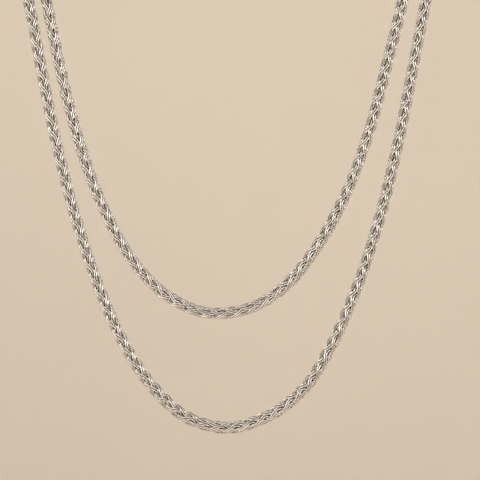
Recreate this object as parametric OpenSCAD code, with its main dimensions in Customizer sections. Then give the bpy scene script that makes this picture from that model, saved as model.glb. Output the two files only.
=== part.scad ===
// Two-strand necklace of round woven chain, in the form that it takes round a neck.
// The origin is where the clasp rests on the nape. +Z is up, the front faces -Y, and left is -X.

/* [Chains] */
// Diameter of each woven chain
chain_d = 2.6; // [2.4:0.1:2.7]
// Room around a chain's end inside its cap
chain_gap = 0.1; // [0.1:0.05:0.15]

/* [Clasp] */
// Diameter of the clasp's barrel
clasp_d = 4; // [3.6:0.1:4.4]
// Length of the barrel without its loops
clasp_l = 9; // [8:0.5:9]
// Radius of the barrel's rounded edges
clasp_round = 0.9; // [0.6:0.1:1.2]
// Radius of the groove around the middle of the barrel
groove_r = 0.15; // [0.1:0.05:0.25]

/* [Loops] */
// Wire of the loops soldered to the barrel and the caps
loop_wire = 0.7; // [0.6:0.05:0.8]
// Diameter of a loop, at the middle of its wire
loop_d = 2.2; // [2.1:0.1:2.4]
// Room between a jump ring and each loop that pulls on it
play = 0.15; // [0.1:0.05:0.2]

/* [Jump rings] */
// Wire of each jump ring
ring_wire = 0.8; // [0.7:0.05:0.85]
// Diameter of a jump ring, at the middle of its wire
ring_d = 6; // [5.8:0.1:6.4]

/* [End caps] */
// Wall around the chain's end
cap_wall = 0.3; // [0.25:0.05:0.35]
// Depth of the cup that holds the chain
cup_depth = 2.95; // [2.5:0.05:3.5]
// Metal between the centre of the domed end and the floor of the cup
cup_floor = 0.2; // [0.1:0.05:0.4]
// Radius of the bead around the cup's mouth
bead_r = 0.2; // [0.15:0.05:0.25]
// Distance from the floor of the cup to the chain's end
chain_seat = 0.3; // [0.2:0.05:0.4]

/* [Hidden] */
// How far the wire of a soldered loop sinks into what carries it
loop_sink = 0.3;
// Straight stretch of chain outside each cap
chain_lead = 1;
// Slope of the long strand's caps, as drop over run
long_cap_slope = [3, 4];
short_cap_drop = 0;
long_cap_drop = atan2(long_cap_slope[0], long_cap_slope[1]);

rest_y = clasp_d / 2;
loop_hole_r = (loop_d - loop_wire) / 2;
// From a loop's centre to the ring's wire that pulls on it
pull = loop_hole_r - ring_wire / 2 - play;
clasp_loop_x = clasp_l / 2 + loop_d / 2 - loop_sink;
ring_x = clasp_loop_x + pull + ring_d / 2;

// Distances from a jump ring's centre, outwards along a cap
cap_d = chain_d + 2 * chain_gap + 2 * cap_wall;
cap_loop_at = ring_d / 2 + pull;
dome_tip_at = cap_loop_at + loop_d / 2 - loop_wire / 2 + 0.2;
dome_at = dome_tip_at + cap_d / 2;
cup_floor_at = dome_at + cup_floor;
mouth_at = cup_floor_at + cup_depth;
chain_end_at = cup_floor_at + chain_seat;

tube_sides = 8;
// Largest distance between two rings of a tube
ring_step = 8;
front_y = -82;

// Each strand's hidden stretch, as x, y, z on the right side, from the nape to the front
SHORT_BACK = [
    [28, 0.5, -1.5], [37.5, -5, -4.5], [45, -15, -8.5], [48.5, -28, -13], [49.5, -41.5, -17.5],
    [48.5, -55, -23], [46.5, -67, -30.5], [43.5, -76, -40], [41, -80.5, -50]
];
LONG_BACK = [
    [26.5, 1, -11], [37, -3, -15], [47, -11.5, -19], [53, -24.5, -23], [55.5, -39.5, -27],
    [54.5, -54.5, -31.5], [51.5, -68, -37], [48, -77, -44.5], [45, -81, -53]
];
// Each strand's hanging front, as x, z from left to right
SHORT_FRONT = [
    [-39, -60], [-36, -75], [-32, -90.5], [-26.5, -105.5], [-20, -117],
    [-12.5, -124.5], [-4, -128], [5, -127], [12.5, -122.5], [18.5, -115.5],
    [24.5, -105.5], [30.5, -90.5], [35, -74], [38.5, -60]
];
LONG_FRONT = [
    [-43, -60], [-40, -75.5], [-36.5, -92.5], [-32, -109.5], [-27, -124],
    [-22, -135], [-16, -144], [-8, -151], [0, -153], [8, -151], [16.5, -145],
    [23, -135], [27.5, -125], [32.5, -110.5], [37, -93], [40.5, -75.5], [43.5, -60]
];

$fn = 48;

// A place at a distance from the right jump ring's centre, along a cap with this drop
function along_cap(drop, away) = [ring_x + away * cos(drop), rest_y, -away * sin(drop)];

function left_of(p) = [-p[0], p[1], p[2]];
function backwards(list) = [for (i = [len(list) - 1:-1:0]) list[i]];

// The whole route of a strand, from its left cap round the front to its right cap
function route(back, front, drop) =
    let (
        ends = [along_cap(drop, chain_end_at), along_cap(drop, mouth_at + chain_lead)],
        side = concat(ends, back)
    )
    concat(
        [for (p = side) left_of(p)],
        [for (p = front) [p[0], front_y, p[1]]],
        backwards(side)
    );

function unit(v) = v / norm(v);

// The route's direction at point i. The shorter of the spans beside it counts more.
function heading(p, i) =
    i == 0 ? unit(p[1] - p[0]) :
    i == len(p) - 1 ? unit(p[i] - p[i - 1]) :
    let (before = p[i] - p[i - 1], after = p[i + 1] - p[i])
    (unit(before) * norm(after) + unit(after) * norm(before)) / (norm(before) + norm(after));

// A place at share t of the smooth curve from point i to the next
function on_span(p, i, t) =
    let (span = norm(p[i + 1] - p[i]))
    (2 * pow(t, 3) - 3 * pow(t, 2) + 1) * p[i]
    + (pow(t, 3) - 2 * pow(t, 2) + t) * span * heading(p, i)
    + (3 * pow(t, 2) - 2 * pow(t, 3)) * p[i + 1]
    + (pow(t, 3) - pow(t, 2)) * span * heading(p, i + 1);

// The centres of a tube's rings
function centres(p) = [
    for (i = [0:len(p) - 2])
        let (steps = ceil(norm(p[i + 1] - p[i]) / ring_step))
        for (k = [0:steps - 1]) on_span(p, i, k / steps),
    p[len(p) - 1]
];

// A direction across the tube at each ring, carried along from the last so that it never twists
function across(c, i, last) =
    i == len(c) ? [] :
    let (ahead = heading(c, i), level = unit(last - (last * ahead) * ahead))
    concat([level], across(c, i + 1, level));

// A closed tube through a route's points
module tube(p, d) {
    c = centres(p);
    x = across(c, 0, [0, 1, 0]);
    last = len(c) - 1;
    points = [
        for (i = [0:last])
            let (y = cross(unit(heading(c, i)), x[i]))
            for (k = [0:tube_sides - 1])
                let (a = 360 * k / tube_sides)
                c[i] + d / 2 * (cos(a) * x[i] + sin(a) * y)
    ];
    walls = [
        for (i = [0:last - 1])
            for (k = [0:tube_sides - 1])
                let (
                    here = i * tube_sides + k,
                    beside = i * tube_sides + (k + 1) % tube_sides
                )
                each [
                    [here, here + tube_sides, beside + tube_sides],
                    [here, beside + tube_sides, beside]
                ]
    ];
    first_end = [for (k = [0:tube_sides - 1]) k];
    last_end = [for (k = [tube_sides - 1:-1:0]) last * tube_sides + k];
    polyhedron(points, concat([first_end], walls, [last_end]));
}

// A ring of round wire around the Z axis
module wire_ring(d, wire) {
    rotate_extrude() translate([d / 2, 0]) circle(d = wire, $fn = 32);
}

module strand(back, front, drop) {
    tube(route(back, front, drop), chain_d);
}

module short_strand() {
    color("gainsboro") strand(SHORT_BACK, SHORT_FRONT, short_cap_drop);
}

module long_strand() {
    color("gainsboro") strand(LONG_BACK, LONG_FRONT, long_cap_drop);
}

// A cup with a domed end and a soldered loop, seen along +Z from the jump ring's centre
module cap_body() {
    difference() {
        union() {
            translate([0, 0, dome_at]) sphere(d = cap_d);
            translate([0, 0, dome_at]) cylinder(h = mouth_at - dome_at, d = cap_d);
            translate([0, 0, mouth_at - bead_r])
                wire_ring(cap_d - bead_r, 2 * bead_r);
            translate([0, 0, cap_loop_at]) rotate([0, 90, 0]) wire_ring(loop_d, loop_wire);
        }
        translate([0, 0, cup_floor_at]) cylinder(h = cup_depth + 1, d = chain_d + 2 * chain_gap);
    }
}

// side is 1 for right and -1 for left
module end_cap(side, drop) {
    color("silver")
        translate([side * ring_x, rest_y, 0])
            rotate([0, side * (90 + drop), 0])
                cap_body();
}

module jump_ring(side) {
    color("silver")
        translate([side * ring_x, rest_y, 0])
            rotate([90, 0, 0])
                wire_ring(ring_d, ring_wire);
}

// A plain closed barrel with rounded edges, a groove where it parts and a loop at each end
module clasp() {
    edge_at = clasp_l / 2 - clasp_round;
    color("silver") translate([0, rest_y, 0]) {
        rotate([0, 90, 0]) difference() {
            union() {
                cylinder(h = 2 * edge_at, d = clasp_d, center = true);
                cylinder(h = clasp_l, d = clasp_d - 2 * clasp_round, center = true);
                for (end = [-1, 1])
                    translate([0, 0, end * edge_at])
                        wire_ring(clasp_d - 2 * clasp_round, 2 * clasp_round);
            }
            wire_ring(clasp_d, 2 * groove_r);
        }
        for (end = [-1, 1])
            translate([end * clasp_loop_x, 0, 0]) wire_ring(loop_d, loop_wire);
    }
}

short_strand();
long_strand();
end_cap(-1, short_cap_drop);  // short_cap_left
end_cap(1, short_cap_drop);  // short_cap_right
end_cap(-1, long_cap_drop);  // long_cap_left
end_cap(1, long_cap_drop);  // long_cap_right
jump_ring(-1);  // jump_ring_left
jump_ring(1);  // jump_ring_right
clasp();
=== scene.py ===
import math

import bpy
import numpy as np
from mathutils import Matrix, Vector


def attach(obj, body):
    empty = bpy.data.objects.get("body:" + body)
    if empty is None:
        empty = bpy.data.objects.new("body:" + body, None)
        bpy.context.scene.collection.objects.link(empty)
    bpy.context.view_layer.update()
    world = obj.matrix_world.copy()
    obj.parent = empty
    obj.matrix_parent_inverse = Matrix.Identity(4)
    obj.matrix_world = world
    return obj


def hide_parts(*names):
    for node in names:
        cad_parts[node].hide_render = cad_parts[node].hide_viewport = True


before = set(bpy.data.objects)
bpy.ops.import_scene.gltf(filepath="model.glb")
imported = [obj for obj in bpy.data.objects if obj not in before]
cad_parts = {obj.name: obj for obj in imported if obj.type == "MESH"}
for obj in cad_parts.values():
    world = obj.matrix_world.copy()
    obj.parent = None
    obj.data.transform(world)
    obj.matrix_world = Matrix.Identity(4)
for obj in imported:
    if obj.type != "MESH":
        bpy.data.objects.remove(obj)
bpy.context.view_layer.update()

# Lengths and places are in millimetres, and MM turns them into the frame's metres
MM = 0.001

# The routes of both strands, repeated from the part's source
FRONT_Y = -82
RING_X = 8.5
REST_Y = 2
SHORT_BACK = [
    [28, 0.5, -1.5], [37.5, -5, -4.5], [45, -15, -8.5], [48.5, -28, -13], [49.5, -41.5, -17.5],
    [48.5, -55, -23], [46.5, -67, -30.5], [43.5, -76, -40], [41, -80.5, -50]
]
LONG_BACK = [
    [26.5, 1, -11], [37, -3, -15], [47, -11.5, -19], [53, -24.5, -23], [55.5, -39.5, -27],
    [54.5, -54.5, -31.5], [51.5, -68, -37], [48, -77, -44.5], [45, -81, -53]
]
SHORT_FRONT = [
    [-39, -60], [-36, -75], [-32, -90.5], [-26.5, -105.5], [-20, -117],
    [-12.5, -124.5], [-4, -128], [5, -127], [12.5, -122.5], [18.5, -115.5],
    [24.5, -105.5], [30.5, -90.5], [35, -74], [38.5, -60]
]
LONG_FRONT = [
    [-43, -60], [-40, -75.5], [-36.5, -92.5], [-32, -109.5], [-27, -124],
    [-22, -135], [-16, -144], [-8, -151], [0, -153], [8, -151], [16.5, -145],
    [23, -135], [27.5, -125], [32.5, -110.5], [37, -93], [40.5, -75.5], [43.5, -60]
]
SHORT_CAP_DROP = 0
LONG_CAP_DROP = math.atan2(3, 4)
# Distances from a jump ring's centre to the chain's end and to the first bend
CHAIN_END_AT = 6.35
FIRST_BEND_AT = 10

# The weave: links of two fine wires side by side, twisted, folded in two and passed through each other.
# HALF_PITCH is the distance from one link's start to the next one's, which leans the other way.
HALF_PITCH = 1.65
WIRE_R = 0.185
# Where the wires of a link lie beside its middle line
BESIDE = (-0.225, 0.225)
# The furthest that a middle line gets from the chain's axis
OUTER_R = 1.13
# How far a link is turned against its lean, in degrees
SKEW = 6
# How far the wires' ridges look downwards where they cross the axis
RIDGE_DROP = 0.3
# The middle line of a link's first half. A fold crosses the axis, so its rows are x, y, z. A leg's rows are
# height, distance from the axis and offset round it. Leg A leaves the fold on the outside and ends at the
# tip, and leg B comes back under it.
FOLD_A = [(0.0, 0.0, -0.04), (0.50, -0.04, 0.06)]
LEG_A = [
    (0.42, 0.94, -0.14), (0.95, 1.12, -0.16), (1.50, 1.13, 0.04), (2.10, 1.13, 0.40), (2.70, 1.13, 0.72),
    (3.20, 1.08, 0.90), (3.66, 0.94, 0.86), (4.12, 0.74, 0.62), (4.60, 0.60, 0.38)
]
TIP = (4.85, 0.56, 0.0)
LEG_B = [
    (4.60, 0.60, -0.36), (4.10, 0.64, -0.46), (3.62, 0.78, -0.40), (3.10, 1.02, -0.12), (2.55, 1.10, 0.00),
    (2.00, 1.06, -0.16), (1.50, 0.92, -0.34), (1.05, 0.68, -0.16)
]
FOLD_B = [(0.36, 0.0, 0.54), (0.0, 0.0, 0.36)]
# Random differences in a leg's height and offset, in its distance from the axis, and in a link's turn
LEG_SPREAD = 0.03
AXIS_SPREAD = 0.012
TURN_SPREAD = 2
# How many different links are drawn for each lean
LINK_SHAPES = 14
# Where the first link starts on the chain, and the length that the last one takes
FIRST_LINK_AT = 0.3
LINK_L = 4.95
# Into how many pieces each strand's links are joined
PIECES = 3

# The rings along a wire, and the angles round each, from the ridge that faces away from the chain's axis
RINGS = 64
SIDES = 6
AROUND = np.linspace(0, 2 * np.pi, SIDES, endpoint=False)
# Steps of a smooth curve: millimetres along a strand, and parts of each span of a link
STRAND_STEP = 0.05
SPAN_STEPS = 24

# How far each chain is turned about its own axis: millimetres from its left end, degrees
SHORT_ROLLS = [
    (131, -30), (165, -30), (180, -45), (197, -38), (218, -48),
    (232, -70), (247, -60), (262, -45), (273, -38)
]
LONG_ROLLS = [
    (132, -55), (178, -50), (200, -50), (225, -65), (252, -70),
    (272, -60), (289, -45), (306, -36), (330, -45)
]

# The metal's colour, along its haze
METAL = [(0.25, (0.80, 0.735, 0.66)), (0.75, (0.87, 0.81, 0.74))]
# The share of its brightness that is left: from deep in the weave outwards, which is tarnish, and from the
# sides of the wires up to their ridges, which is painted shade that leaves a painted bright line along each
# ridge
TARNISH_AND_PAINTED_SHADE = {
    "proud": [(0.0, (0.96, 0.95, 0.93)), (0.45, (0.985, 0.98, 0.97)), (0.85, (1, 1, 1))],
    # Painted shade down the sides of each wire, which leaves a painted bright line along its ridge
    "painted_wire_shading": [
        (0.0, (0.66, 0.64, 0.61)), (0.35, (0.76, 0.745, 0.725)),
        (0.70, (0.92, 0.91, 0.90)), (0.90, (1, 1, 1))
    ],
}
# Distances from the chain's axis between which the tarnish of the deep metal fades out
DEEP_R = 0.5
PROUD_R = 1.2
# How much more painted shade a wire gets down the side that faces away from its twin
OUTER_SHADE = 0.2
# How many times finer the handling marks are than the haze, and how deep they are
MARKS_FINER = 9
MARK_DEPTH = 0.02

# How far in front of the strands the camera stands, the width of its view there, which is 480 px at
# 4.6 px per mm, and the middle of the view
CAMERA_AWAY = 600
VIEW_W = 104.35
VIEW_X = 3.04
VIEW_Z = -112.17

# The backdrop: a floor that curves up into a wall, far enough away to look at the necklace from behind
FLOOR_Z = -650
WALL_Y = 1900
WALL_TOP_Z = 2500
BEND_R = 250
BACKDROP_REACH = 30000
# Where the faces beside the bend end, which keeps its smooth shading near it
FLOOR_FACE_END_Y = -2000
WALL_FACE_END_Z = 600
# The paper's colour, in soft clouds
PAPER = [(0.3, (0.700, 0.618, 0.530)), (0.7, (0.712, 0.630, 0.541))]
# Painted light on the paper: how much brighter it is, from the floor up to PAPER_TOP_Z
PAPER_TOP_Z = 110
PAINTED_PAPER_LIGHT = [(0.0, (1.28, 1.28, 1.28)), (0.41, (1.14, 1.13, 1.08)), (1.0, (1.24, 1.24, 1.18))]

ROOM_COLOUR = (0.56, 0.54, 0.52, 1)
ROOM_STRENGTH = 0.32
# Each light's name, place, aim, width, height and power in watts. The floor's lights face away from the
# necklace and only light the floor round it.
LIGHTS = [
    ("key", (-720, -750, 160), (0, -50, -100), 500, 550, 3.1),
    ("fill", (750, -620, 50), (0, -50, -100), 450, 550, 2.8),
    ("top", (100, -750, 500), (0, -60, -100), 450, 350, 0.8),
    ("low", (-100, -800, -500), (0, -60, -100), 400, 350, 0.2),
    ("front", (0, -1300, 220), (0, -50, -100), 600, 500, 2.8),
    ("back_key", (-700, 950, 550), (0, -20, -80), 600, 600, 3.0),
    ("back_fill", (800, 850, 100), (0, -20, -80), 600, 600, 2.1),
    ("wash", (50, 700, 100), (50, WALL_Y, 50), 1600, 1200, 7.8),
    ("floor_front", (0, -1800, 900), (0, -2900, FLOOR_Z), 4000, 1200, 14),
    ("floor_left", (-1800, 0, 900), (-2900, 0, FLOOR_Z), 4000, 1200, 14),
    ("floor_right", (1800, 0, 900), (2900, 0, FLOOR_Z), 4000, 1200, 14),
]

scene = bpy.context.scene


def metres(place):
    """A place in the frame's metres."""
    return Vector([x * MM for x in place])


def unit(v):
    """The directions of vectors."""
    return v / np.linalg.norm(v, axis=-1, keepdims=True)


def lengths(p):
    """The length along a line of points up to each of them."""
    return np.r_[0, np.cumsum(np.linalg.norm(np.diff(p, axis=0), axis=1))]


def read_at(want, s, values):
    """Rows of three values that are known at lengths s, read at other lengths."""
    return np.stack([np.interp(want, s, values[:, a]) for a in range(3)], 1)


def span(t, start, end, leaving, arriving):
    """The places at shares t of the smooth curve between two points, from its slopes there."""
    return ((2 * t**3 - 3 * t**2 + 1) * start + (t**3 - 2 * t**2 + t) * leaving
            + (3 * t**2 - 2 * t**3) * end + (t**3 - t**2) * arriving)


def along_cap(drop, away):
    """A place at a distance from the right jump ring's centre, along a cap with this drop."""
    return [RING_X + away * math.cos(drop), REST_Y, -away * math.sin(drop)]


def route(back, front, drop):
    """The whole route of a strand, from its left cap round the front to its right cap."""
    side = [along_cap(drop, CHAIN_END_AT), along_cap(drop, FIRST_BEND_AT)] + back
    left = [[-x, y, z] for x, y, z in side]
    return np.array(left + [[x, FRONT_Y, z] for x, z in front] + side[::-1], float)


def smooth(p):
    """The smooth curve through a route's points, as closely spaced points."""
    d = np.diff(p, axis=0)
    n = np.linalg.norm(d, axis=1, keepdims=True)
    u = d / n
    # The route's direction at each point. The shorter of the spans beside it counts more.
    heading = np.vstack([u[:1], unit(u[:-1] * n[1:] + u[1:] * n[:-1]), u[-1:]])
    out = []
    for i in range(len(d)):
        t = np.linspace(0, 1, math.ceil(n[i, 0] / STRAND_STEP), endpoint=False)[:, None]
        out.append(span(t, p[i], p[i + 1], n[i] * heading[i], n[i] * heading[i + 1]))
    return np.vstack(out + [p[-1:]])


def framed(p):
    """A curve's points, lengths and directions, and facings across it that never twist.

    The middle one looks towards the front.
    """
    ahead = unit(np.gradient(p, axis=0))
    face = np.zeros_like(p)
    middle = len(p) // 2
    face[middle] = (0, -1, 0)
    for order in (range(middle + 1, len(p)), range(middle - 1, -1, -1)):
        last = face[middle]
        for i in order:
            last = last - ahead[i] * (last @ ahead[i])
            last = last / math.sqrt(last @ last)
            face[i] = last
    return p, lengths(p), ahead, face


def closed_spline(ctrl, n):
    """n points, evenly spaced along the closed smooth curve through the control points."""
    closed = np.vstack([ctrl, ctrl[:1]])
    knots = np.r_[0, np.cumsum(np.sqrt(np.linalg.norm(np.diff(closed, axis=0), axis=1)))]
    # With one more point and knot at each end
    p = np.vstack([ctrl[-1:], closed, ctrl[1:2]])
    k = np.r_[knots[0] - (knots[-1] - knots[-2]), knots, knots[-1] + (knots[1] - knots[0])]
    t = np.linspace(0, 1, SPAN_STEPS, endpoint=False)[:, None]
    out = []
    for i in range(1, len(p) - 2):
        h = k[i + 1] - k[i]
        rise = (p[i + 1] - p[i]) / h
        before = (p[i] - p[i - 1]) / (k[i] - k[i - 1])
        after = (p[i + 2] - p[i + 1]) / (k[i + 2] - k[i + 1])
        leaving = before - (p[i + 1] - p[i - 1]) / (k[i + 1] - k[i - 1]) + rise
        arriving = rise - (p[i + 2] - p[i]) / (k[i + 2] - k[i]) + after
        out.append(span(t, p[i], p[i + 1], h * leaving, h * arriving))
    q = np.vstack(out + [p[1:2]])
    s = lengths(q)
    return read_at(np.linspace(0, s[-1], n, endpoint=False), s, q)


def turn(p, degrees):
    """Points turned about the Z axis."""
    a = np.radians(degrees)
    c, s = np.cos(a), np.sin(a)
    return np.stack([c * p[..., 0] - s * p[..., 1], s * p[..., 0] + c * p[..., 1], p[..., 2]], -1)


def leg_point(row, rng):
    """A leg's point as x, y, z, a little off the place that its row gives."""
    z, away, offset = row
    away = min(away + rng.normal(0, AXIS_SPREAD), OUTER_R)
    offset = offset + rng.normal(0, LEG_SPREAD)
    angle = offset / away
    return away * math.cos(angle), away * math.sin(angle), z + rng.normal(0, LEG_SPREAD)


def half_link(lean, rng):
    """The middle line's points through one half of a link. lean is 1 or -1, for the way that it leans."""
    legs = [leg_point(row, rng) for row in LEG_A + [TIP] + LEG_B]
    return np.array(FOLD_A + legs + FOLD_B) * [1, lean, 1]


def link_path(lean, rng):
    """The middle line of one link, a little different for each draw."""
    other = (half_link(lean, rng) * [-1, -1, 1])[::-1]
    path = closed_spline(np.vstack([half_link(lean, rng)[:-1], other[:-1]]), RINGS)
    return turn(path, -SKEW * lean + rng.normal(0, TURN_SPREAD))


def link_wires(lean, rng):
    """The points of one link's wires, ring by ring, which lie side by side on the chain's surface."""
    path = link_path(lean, rng)
    along = unit(np.roll(path, -1, 0) - np.roll(path, 1, 0))
    # Away from the axis, or downwards where the wires cross it
    away = unit(path * [1, 1, 0] - [0, 0, RIDGE_DROP])
    beside = unit(np.cross(along, away))
    away = np.cross(beside, along)
    a = AROUND[None, :, None]
    ring = WIRE_R * (np.cos(a) * away[:, None] + np.sin(a) * beside[:, None])
    return np.vstack([((path + at * beside)[:, None] + ring).reshape(-1, 3) for at in BESIDE])


def wire_faces():
    """The faces of one wire, each between two neighbouring rings."""
    here = np.arange(RINGS)[:, None] * SIDES
    ahead = (np.arange(RINGS)[:, None] + 1) % RINGS * SIDES
    k = np.arange(SIDES)[None]
    beside = (k + 1) % SIDES
    return np.stack([here + k, here + beside, ahead + beside, ahead + k], -1).reshape(-1, 4)


def painted_shading_round_ring(at):
    """How much light is painted on a wire round its ring: most on its ridge, and least down the side away
    from its twin, where painted shade falls.
    """
    return (1 + np.cos(AROUND)) / 2 - OUTER_SHADE * np.maximum(np.sign(at) * np.sin(AROUND), 0)


def bent(local, start, curve):
    """A link's points, carried from a straight chain to their places on the curve."""
    p, s, ahead, face = curve
    z = np.clip(local[:, 2] + start, 0, s[-1])
    ahead = unit(read_at(z, s, ahead))
    front = read_at(z, s, face)
    front = unit(front - ahead * (front * ahead).sum(1, keepdims=True))
    up = np.cross(front, ahead)
    return read_at(z, s, p) + local[:, :1] * up + local[:, 1:2] * front


def mesh_object(name, verts, faces, attributes):
    """An object from its points, its faces of four corners and a value of each attribute at each point."""
    me = bpy.data.meshes.new(name)
    me.vertices.add(len(verts))
    me.vertices.foreach_set("co", (verts * MM).astype(np.float32).ravel())
    me.loops.add(faces.size)
    me.loops.foreach_set("vertex_index", faces.astype(np.int32).ravel())
    me.polygons.add(len(faces))
    me.polygons.foreach_set("loop_start", np.arange(0, faces.size, 4, dtype=np.int32))
    me.polygons.foreach_set("use_smooth", np.ones(len(faces), bool))
    for key, values in attributes.items():
        me.attributes.new(key, "FLOAT", "POINT").data.foreach_set("value", values.astype(np.float32))
    me.update()
    me.validate()
    ob = bpy.data.objects.new(name, me)
    scene.collection.objects.link(ob)
    return ob


def strand_links(curve, rolls, rng):
    """The points of a strand's links, link by link, and for each point how proud of the core it stands."""
    # Every second link leans the other way and is turned a quarter
    shapes = [
        [turn(link_wires(lean, rng), quarter) for _ in range(LINK_SHAPES)]
        for lean, quarter in ((-1, 0), (1, 90))
    ]
    length = curve[1][-1]
    reach = length - FIRST_LINK_AT - LINK_L
    count = int(reach / HALF_PITCH) + 1
    roll_at, roll = zip(*rolls)
    verts, proud = [], []
    for i in range(count):
        start = FIRST_LINK_AT + i * reach / (count - 1)
        local = shapes[i % 2][rng.integers(LINK_SHAPES)]
        local = turn(local, np.interp(start, roll_at, roll))
        verts.append(bent(local, start, curve))
        away = np.hypot(local[:, 0], local[:, 1])
        proud.append(np.clip((away - DEEP_R) / (PROUD_R - DEEP_R), 0, 1))
    return verts, proud


def weave(name, node, points, rolls, seed, metal):
    """All the links of one strand, in a few pieces, turned about its own axis as rolls says."""
    verts, proud = strand_links(framed(smooth(points)), rolls, np.random.default_rng(seed))
    faces = np.vstack([wire_faces() + k * RINGS * SIDES for k in range(len(BESIDE))])
    # Painted shade down each wire's sides, strongest on the side away from its twin, leaving a bright line
    # on its ridge
    painted_wire_shading = np.concatenate([np.tile(painted_shading_round_ring(at), RINGS) for at in BESIDE])
    cuts = np.linspace(0, len(verts), PIECES + 1).astype(int)
    for k, (first, end) in enumerate(zip(cuts, cuts[1:]), 1):
        joined = np.vstack([faces + i * len(painted_wire_shading) for i in range(end - first)])
        values = {"proud": np.concatenate(proud[first:end]), "painted_wire_shading": np.tile(painted_wire_shading, end - first)}
        ob = mesh_object(f"{name}_{k}", np.vstack(verts[first:end]), joined, values)
        ob.data.materials.append(metal)
        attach(ob, "root")
        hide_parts(node)


def new_material(name):
    """A material, its node tree and its shader."""
    material = bpy.data.materials.new(name)
    material.use_nodes = True
    tree = material.node_tree
    return material, tree, tree.nodes["Principled BSDF"]


def add_node(tree, kind, **values):
    """A node with these values on its inputs or among its settings."""
    node = tree.nodes.new(kind)
    for key, value in values.items():
        if key in node.inputs:
            node.inputs[key].default_value = value
        else:
            setattr(node, key, value)
    return node


def noise(tree, coordinates, **values):
    """Noise over the object's own coordinates."""
    node = add_node(tree, "ShaderNodeTexNoise", **values)
    tree.links.new(coordinates.outputs["Object"], node.inputs["Vector"])
    return node.outputs["Fac"]


def ramp(tree, source, stops):
    """Colours that follow a value, from stops of a position and a colour."""
    node = add_node(tree, "ShaderNodeValToRGB")
    elements = node.color_ramp.elements
    for element, (at, colour) in zip(elements, (stops[0], stops[-1])):
        element.position = at
        element.color = (*colour, 1)
    for at, colour in stops[1:-1]:
        elements.new(at).color = (*colour, 1)
    tree.links.new(source, node.inputs["Fac"])
    return node.outputs["Color"]


def multiply(tree, a, b):
    """The product of two colours."""
    mix = add_node(tree, "ShaderNodeMix", data_type="RGBA", blend_type="MULTIPLY")
    mix.inputs["Factor"].default_value = 1
    tree.links.new(a, mix.inputs["A"])
    tree.links.new(b, mix.inputs["B"])
    return mix.outputs["Result"]


def polished(name, grain, roughness, woven=False):
    """Polished white metal with fine handling marks. On the woven wires, tarnish deep in the weave, and
    painted shade down each wire's sides that leaves a painted bright line on its ridge.
    """
    material, tree, shader = new_material(name)
    shader.inputs["Metallic"].default_value = 1
    coordinates = add_node(tree, "ShaderNodeTexCoord")
    haze = noise(tree, coordinates, Scale=grain, Detail=4.0, Roughness=0.6)
    marks = noise(tree, coordinates, Scale=grain * MARKS_FINER, Detail=3.0, Roughness=0.7)
    least, most = roughness
    gloss = ramp(tree, haze, [(0.3, (least,) * 3), (0.7, (most,) * 3)])
    tree.links.new(gloss, shader.inputs["Roughness"])
    colour = ramp(tree, haze, METAL)
    if woven:
        # Tarnish deep in the weave, then painted shade down the sides of each wire
        for attribute, stops in TARNISH_AND_PAINTED_SHADE.items():
            amount = add_node(tree, "ShaderNodeAttribute", attribute_name=attribute)
            colour = multiply(tree, colour, ramp(tree, amount.outputs["Fac"], stops))
    tree.links.new(colour, shader.inputs["Base Color"])
    bump = add_node(tree, "ShaderNodeBump", Strength=0.08, Distance=MARK_DEPTH * MM)
    tree.links.new(marks, bump.inputs["Height"])
    tree.links.new(bump.outputs["Normal"], shader.inputs["Normal"])
    return material


def pale_paper():
    """Matt paper in soft clouds, with painted light that makes it a little brighter towards the floor and
    the top of the view.
    """
    material, tree, shader = new_material("pale_paper")
    coordinates = add_node(tree, "ShaderNodeTexCoord")
    clouds = ramp(tree, noise(tree, coordinates, Scale=5.0, Detail=2.0), PAPER)
    place = add_node(tree, "ShaderNodeSeparateXYZ")
    tree.links.new(coordinates.outputs["Object"], place.inputs["Vector"])
    share = add_node(tree, "ShaderNodeMapRange", **{"From Min": FLOOR_Z * MM, "From Max": PAPER_TOP_Z * MM})
    tree.links.new(place.outputs["Z"], share.inputs["Value"])
    # Painted light: the paper is brighter towards the floor and the top of the view
    painted_light = ramp(tree, share.outputs["Result"], PAINTED_PAPER_LIGHT)
    tree.links.new(multiply(tree, clouds, painted_light), shader.inputs["Base Color"])
    shader.inputs["Roughness"].default_value = 0.9
    shader.inputs["Specular IOR Level"].default_value = 0.1
    return material


def camera():
    """The camera sees the hanging front. The back of the loop lies above its view."""
    lens = bpy.data.cameras.new("camera")
    lens.sensor_width = 36
    lens.lens = lens.sensor_width * CAMERA_AWAY / VIEW_W
    lens.clip_start = 10 * MM
    ob = bpy.data.objects.new("camera", lens)
    ob.location = metres((VIEW_X, FRONT_Y - CAMERA_AWAY, VIEW_Z))
    ob.rotation_euler = (math.radians(90), 0, 0)
    scene.collection.objects.link(ob)
    scene.camera = ob


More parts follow.
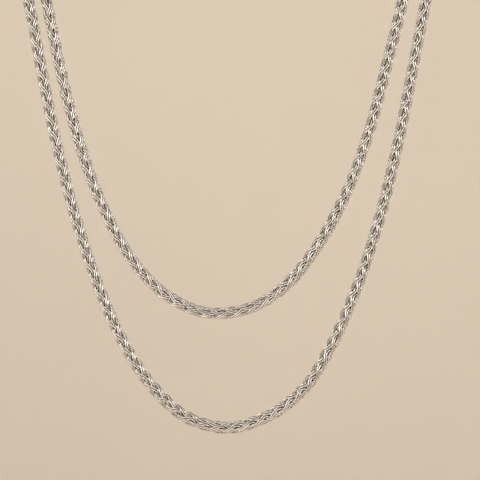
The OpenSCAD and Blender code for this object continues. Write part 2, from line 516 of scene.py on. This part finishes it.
def backdrop():
    """The floor, the bend and the wall."""
    bend_y, bend_z = WALL_Y - BEND_R, FLOOR_Z + BEND_R
    profile = [(-BACKDROP_REACH, FLOOR_Z), (FLOOR_FACE_END_Y, FLOOR_Z), (bend_y, FLOOR_Z)]
    profile += [
        (bend_y + BEND_R * math.sin(a), bend_z - BEND_R * math.cos(a))
        for a in np.radians(range(10, 91, 10))
    ]
    profile += [(WALL_Y, WALL_FACE_END_Z), (WALL_Y, WALL_TOP_Z)]
    verts = np.array([(x, y, z) for y, z in profile for x in (-BACKDROP_REACH, BACKDROP_REACH)])
    faces = np.array([[2 * i, 2 * i + 1, 2 * i + 3, 2 * i + 2] for i in range(len(profile) - 1)])
    sweep = mesh_object("sweep", verts, faces, {})
    sweep.data.materials.append(pale_paper())


def room():
    """Soft light from all sides."""
    world = bpy.data.worlds.new("room")
    scene.world = world
    world.use_nodes = True
    background = world.node_tree.nodes["Background"]
    background.inputs["Color"].default_value = ROOM_COLOUR
    background.inputs["Strength"].default_value = ROOM_STRENGTH


def softbox(name, at, aim, width, height, power):
    """A soft rectangular light that the camera doesn't see."""
    lamp = bpy.data.lights.new(name, "AREA")
    lamp.shape = "RECTANGLE"
    lamp.size, lamp.size_y = width * MM, height * MM
    lamp.energy = power
    ob = bpy.data.objects.new(name, lamp)
    ob.location = metres(at)
    ob.rotation_euler = (metres(aim) - metres(at)).to_track_quat("-Z", "Y").to_euler()
    ob.visible_camera = False
    scene.collection.objects.link(ob)


scene.view_settings.view_transform = "Standard"
woven_metal = polished("woven_chain_metal", grain=900, roughness=(0.24, 0.38), woven=True)
cap_metal = polished("end_cap_metal", grain=700, roughness=(0.10, 0.22))
ring_metal = polished("jump_ring_metal", grain=800, roughness=(0.08, 0.18))
clasp_metal = polished("clasp_metal", grain=500, roughness=(0.10, 0.20))

camera()
short_route = route(SHORT_BACK, SHORT_FRONT, SHORT_CAP_DROP)
long_route = route(LONG_BACK, LONG_FRONT, LONG_CAP_DROP)
weave("short_weave", "short_strand", short_route, SHORT_ROLLS, seed=11, metal=woven_metal)
weave("long_weave", "long_strand", long_route, LONG_ROLLS, seed=12, metal=woven_metal)
for name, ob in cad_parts.items():
    for kind, metal in (("cap", cap_metal), ("ring", ring_metal), ("clasp", clasp_metal)):
        if kind in name:
            ob.data.materials.clear()
            ob.data.materials.append(metal)

backdrop()
room()
for light in LIGHTS:
    softbox(*light)
